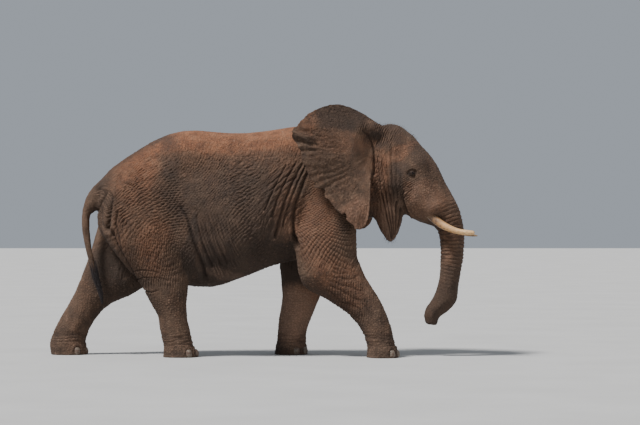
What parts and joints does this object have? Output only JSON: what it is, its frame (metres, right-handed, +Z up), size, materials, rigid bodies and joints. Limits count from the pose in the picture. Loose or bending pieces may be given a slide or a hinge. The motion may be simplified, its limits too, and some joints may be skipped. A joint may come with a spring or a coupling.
{
  "type": "elephant",
  "caption": "Life-size still model of a walking African bush elephant with large ears, short tusks, a hanging trunk and a tufted tail.",
  "frame": {"origin": "on the floor, under the middle of the animal's bounding box", "axes": "+X the way the animal walks, +Y its left, +Z up; the soles stand on z = 0"},
  "size_m": [5.3978, 1.2938, 3.1259],
  "materials": {
    "hide": "dry, thick, deeply wrinkled skin, red-brown with dust on the back and grey-brown below",
    "ivory": "cream ivory with a soft sheen, stained brown towards the root",
    "horn": "dull, scuffed toenail horn",
    "eye": "wet, glossy dark brown eye",
    "hair": "coarse, wiry black hair"
  },
  "bodies": {
    "root": {"ear_left": "hide", "ear_right": "hide", "eye_left": "eye", "eye_right": "eye", "foreleg_left_foot": "hide", "foreleg_left_lower": "hide", "foreleg_left_nail_1": "horn", "foreleg_left_nail_2": "horn", "foreleg_left_nail_3": "horn", "foreleg_left_nail_4": "horn", "foreleg_left_upper": "hide", "foreleg_right_foot": "hide", "foreleg_right_lower": "hide", "foreleg_right_nail_1": "horn", "foreleg_right_nail_2": "horn", "foreleg_right_nail_3": "horn", "foreleg_right_nail_4": "horn", "foreleg_right_upper": "hide", "head": "hide", "hindleg_left_foot": "hide", "hindleg_left_lower": "hide", "hindleg_left_nail_1": "horn", "hindleg_left_nail_2": "horn", "hindleg_left_nail_3": "horn", "hindleg_left_upper": "hide", "hindleg_right_foot": "hide", "hindleg_right_lower": "hide", "hindleg_right_nail_1": "horn", "hindleg_right_nail_2": "horn", "hindleg_right_nail_3": "horn", "hindleg_right_upper": "hide", "jaw": "hide", "neck": "hide", "tail": "hide", "tail_root": "hide", "tail_tuft": "hair", "torso_front": "hide", "torso_middle": "hide", "torso_rear": "hide", "trunk_lower": "hide", "trunk_root": "hide", "trunk_tip": "hide", "trunk_upper": "hide", "tusk_left": "ivory", "tusk_right": "ivory"}
  },
  "joints": []
}
